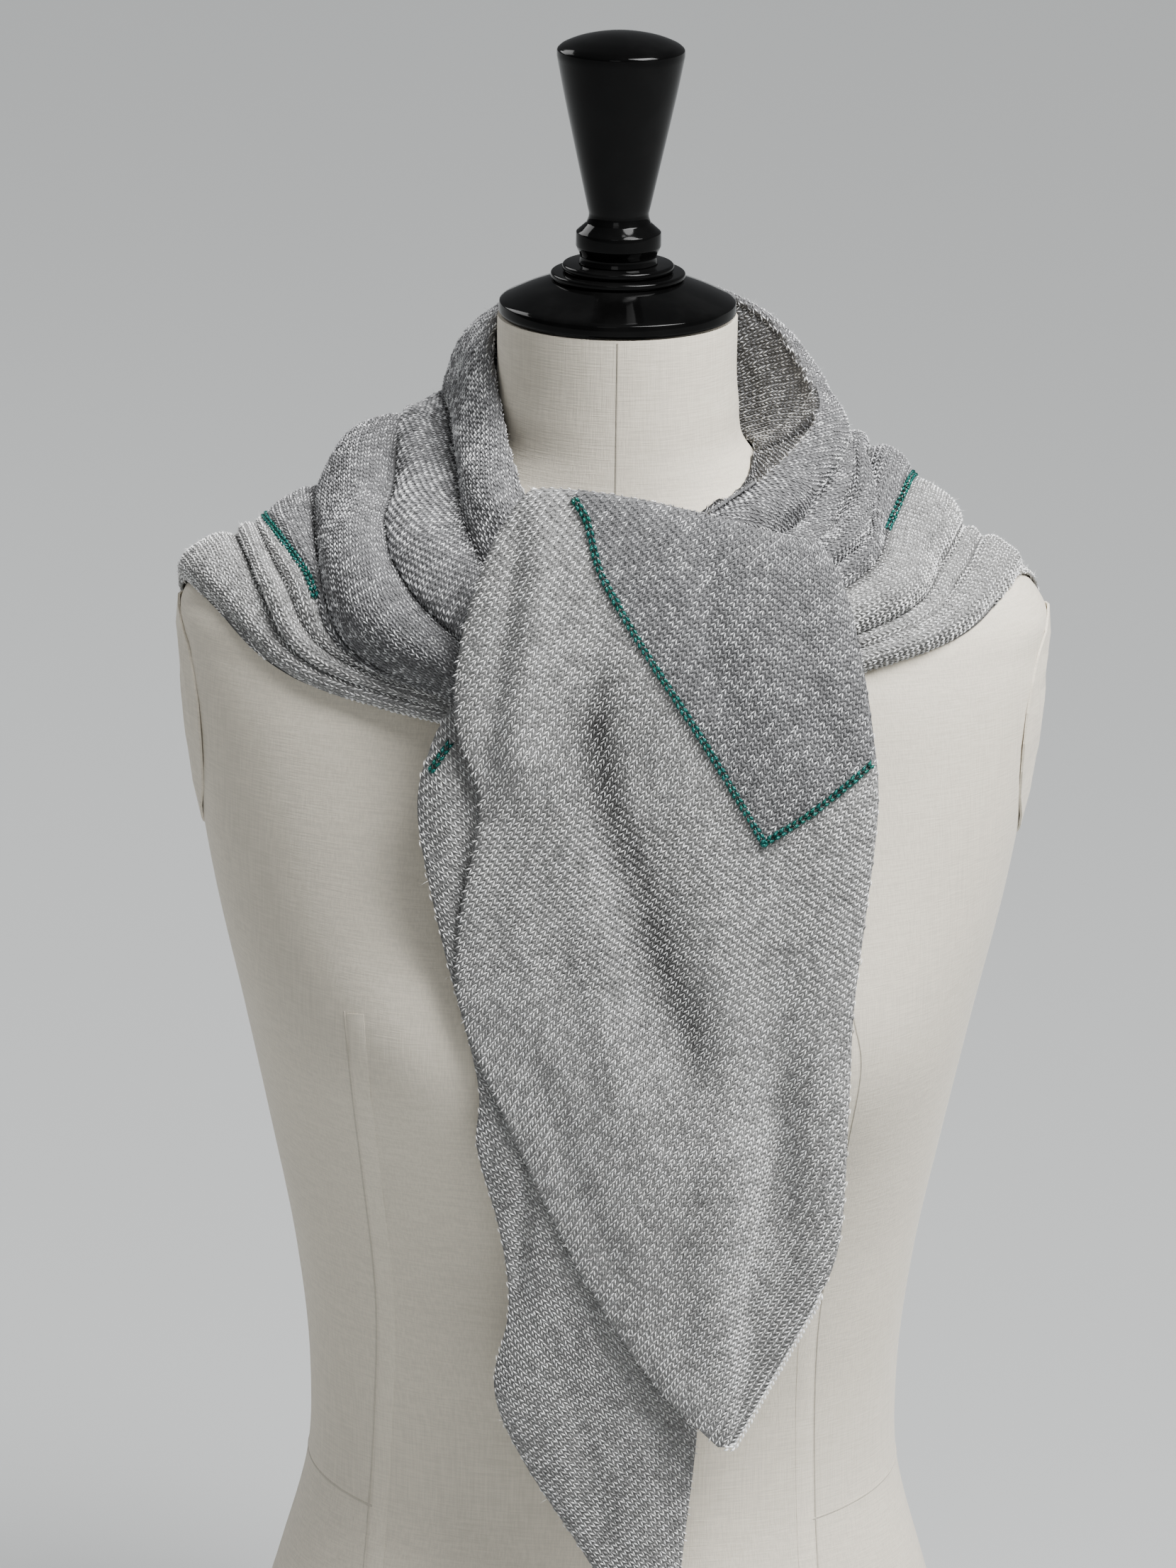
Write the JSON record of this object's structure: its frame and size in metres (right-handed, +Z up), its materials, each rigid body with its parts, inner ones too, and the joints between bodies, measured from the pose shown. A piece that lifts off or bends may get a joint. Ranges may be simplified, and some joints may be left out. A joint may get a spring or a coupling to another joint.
{
  "type": "square scarf on a limbless dress form",
  "caption": "Knitted square scarf folded corner to corner, tied in front round the neck of a limbless linen dress form with a turned black cap and knob.",
  "frame": {"origin": "centre of the base board's underside, on the surface that the form stands on, under the axis of the neck", "axes": "+Z up along the neck, -Y the way the form faces, +X to the right as the front is seen"},
  "size_m": [0.386, 0.2575, 0.913],
  "materials": {
    "centre_knit": "fine grey marl stockinette with a soft halo",
    "border_knit": "fine pale grey marl stockinette with a soft halo",
    "teal_line": "chain stitch in metallic teal thread",
    "linen": "plain-woven unbleached linen, pulled tight",
    "lacquer": "turned wood in black gloss lacquer",
    "base_wood": "satin varnished board"
  },
  "bodies": {
    "root": {"form_torso": "linen", "form_armhole_plate_left": "linen", "form_armhole_plate_right": "linen", "form_base_board": "base_wood", "form_neck_cap": "lacquer", "form_lower_ring": "lacquer", "form_upper_ring": "lacquer", "form_knob": "lacquer", "scarf_wrap_left": "centre_knit", "scarf_collar": "centre_knit", "scarf_inner_collar": "centre_knit", "scarf_back_panel": "centre_knit", "scarf_wrap_right": "centre_knit", "scarf_tie": "centre_knit", "scarf_under_tail": "border_knit", "scarf_front_tail": "border_knit", "trim_wrap_left": "teal_line", "trim_back": "teal_line", "trim_wrap_right": "teal_line", "trim_front_long": "teal_line", "trim_front_short": "teal_line", "trim_under_tail": "teal_line"}
  },
  "joints": []
}
